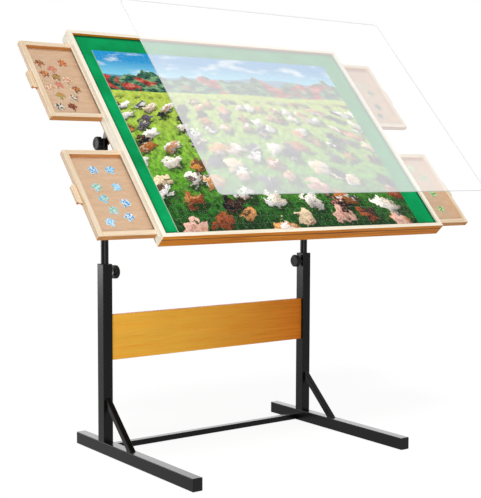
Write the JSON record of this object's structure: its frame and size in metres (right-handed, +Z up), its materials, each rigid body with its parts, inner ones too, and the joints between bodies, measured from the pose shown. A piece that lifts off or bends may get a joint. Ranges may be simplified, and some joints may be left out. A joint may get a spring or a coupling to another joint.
{
  "type": "jigsaw puzzle table with drawers",
  "caption": "Free-standing jigsaw table on a steel stand: height- and tilt-adjustable wooden top with a felt board, pull-out sorting drawers at both ends and a clear cover.",
  "frame": {"origin": "on the floor, midway between the two feet, on the centre line of the tie bar's underside", "axes": "+X to the right of a person facing the table's front edge, +Y to the back, +Z up; the table's front faces -Y"},
  "size_m": [1.157, 0.7002, 1.1338],
  "materials": {
    "black_steel": "satin black powder coat",
    "honey_wood": "clear satin varnish, honey brown",
    "panel_wood": "plain veneered board",
    "pale_ply": "thin pale plywood, satin",
    "green_felt": "short green felt",
    "black_plastic": "matte black moulding",
    "zinc_steel": "bright zinc plating",
    "clear_acrylic": "clear glossy acrylic sheet",
    "printed_card": "printed puzzle card, semi-matte"
  },
  "bodies": {
    "stand": {"left_foot": "black_steel", "right_foot": "black_steel", "foot_end_caps": "black_plastic", "left_post": "black_steel", "right_post": "black_steel", "post_collars": "black_plastic", "left_brace": "black_steel", "right_brace": "black_steel", "tie_bar": "black_steel", "crossboard": "honey_wood", "crossboard_tabs": "black_steel", "crossboard_screws": "zinc_steel", "height_nuts": "zinc_steel"},
    "lift": {"left_inner_tube": "black_steel", "right_inner_tube": "black_steel", "pivot_forks": "black_steel"},
    "left_height_knob": {"left_height_knob": "black_plastic"},
    "right_height_knob": {"right_height_knob": "black_plastic"},
    "left_tilt_knob": {"left_tilt_knob": "black_plastic"},
    "right_tilt_knob": {"right_tilt_knob": "black_plastic"},
    "tabletop": {"rim_front": "honey_wood", "rim_rear": "honey_wood", "rim_left": "honey_wood", "rim_right": "honey_wood", "top_board": "panel_wood", "felt_surface": "green_felt", "case_front": "honey_wood", "case_rear": "honey_wood", "case_left": "honey_wood", "case_right": "honey_wood", "bottom_panel": "panel_wood", "drawer_guides": "honey_wood", "centre_stops": "honey_wood", "left_tilt_bracket": "black_steel", "right_tilt_bracket": "black_steel", "bracket_screws": "zinc_steel", "assembled_puzzle": "printed_card"},
    "front_left_drawer": {"front_left_drawer_front": "honey_wood", "front_left_drawer_back": "honey_wood", "front_left_drawer_sides": "honey_wood", "front_left_drawer_floor": "pale_ply", "front_left_loose_pieces": "printed_card"},
    "rear_left_drawer": {"rear_left_drawer_front": "honey_wood", "rear_left_drawer_back": "honey_wood", "rear_left_drawer_sides": "honey_wood", "rear_left_drawer_floor": "pale_ply", "rear_left_loose_pieces": "printed_card"},
    "front_right_drawer": {"front_right_drawer_front": "honey_wood", "front_right_drawer_back": "honey_wood", "front_right_drawer_sides": "honey_wood", "front_right_drawer_floor": "pale_ply", "front_right_loose_pieces": "printed_card"},
    "rear_right_drawer": {"rear_right_drawer_front": "honey_wood", "rear_right_drawer_back": "honey_wood", "rear_right_drawer_sides": "honey_wood", "rear_right_drawer_floor": "pale_ply", "rear_right_loose_pieces": "printed_card"},
    "cover": {"clear_cover": "clear_acrylic"}
  },
  "joints": [
    {"name": "height_slide", "type": "slide", "parent": "stand", "child": "lift", "axis": [0, 0, 1], "range_m": [-0.27, 0.08]},
    {"name": "tilt_hinge", "type": "hinge", "parent": "lift", "child": "tabletop", "pos_m": [0, -0.025, 0.794], "axis": [1, 0, 0], "range_deg": [-47.7, 12.3]},
    {"name": "left_height_knob_turn", "type": "hinge", "parent": "stand", "child": "left_height_knob", "pos_m": [-0.3, -0.025, 0.467], "axis": [1, 0, 0], "range_deg": [0, 360]},
    {"name": "left_tilt_knob_turn", "type": "hinge", "parent": "lift", "child": "left_tilt_knob", "pos_m": [-0.34, -0.025, 0.794], "axis": [-1, 0, 0], "range_deg": [0, 360]},
    {"name": "right_height_knob_turn", "type": "hinge", "parent": "stand", "child": "right_height_knob", "pos_m": [0.3, -0.025, 0.467], "axis": [-1, 0, 0], "range_deg": [0, 360]},
    {"name": "right_tilt_knob_turn", "type": "hinge", "parent": "lift", "child": "right_tilt_knob", "pos_m": [0.34, -0.025, 0.794], "axis": [1, 0, 0], "range_deg": [0, 360]},
    {"name": "front_left_drawer_slide", "type": "slide", "parent": "tabletop", "child": "front_left_drawer", "axis": [-1, 0, 0], "range_m": [-0.143, 0.157]},
    {"name": "rear_left_drawer_slide", "type": "slide", "parent": "tabletop", "child": "rear_left_drawer", "axis": [-1, 0, 0], "range_m": [-0.132, 0.168]},
    {"name": "front_right_drawer_slide", "type": "slide", "parent": "tabletop", "child": "front_right_drawer", "axis": [1, 0, 0], "range_m": [-0.125, 0.175]},
    {"name": "rear_right_drawer_slide", "type": "slide", "parent": "tabletop", "child": "rear_right_drawer", "axis": [1, 0, 0], "range_m": [-0.126, 0.174]},
    {"name": "cover_seating", "type": "slide", "parent": "tabletop", "child": "cover", "axis": [-0.2626, 0.8336, -0.486], "range_m": [0, 0.1637]}
  ]
}
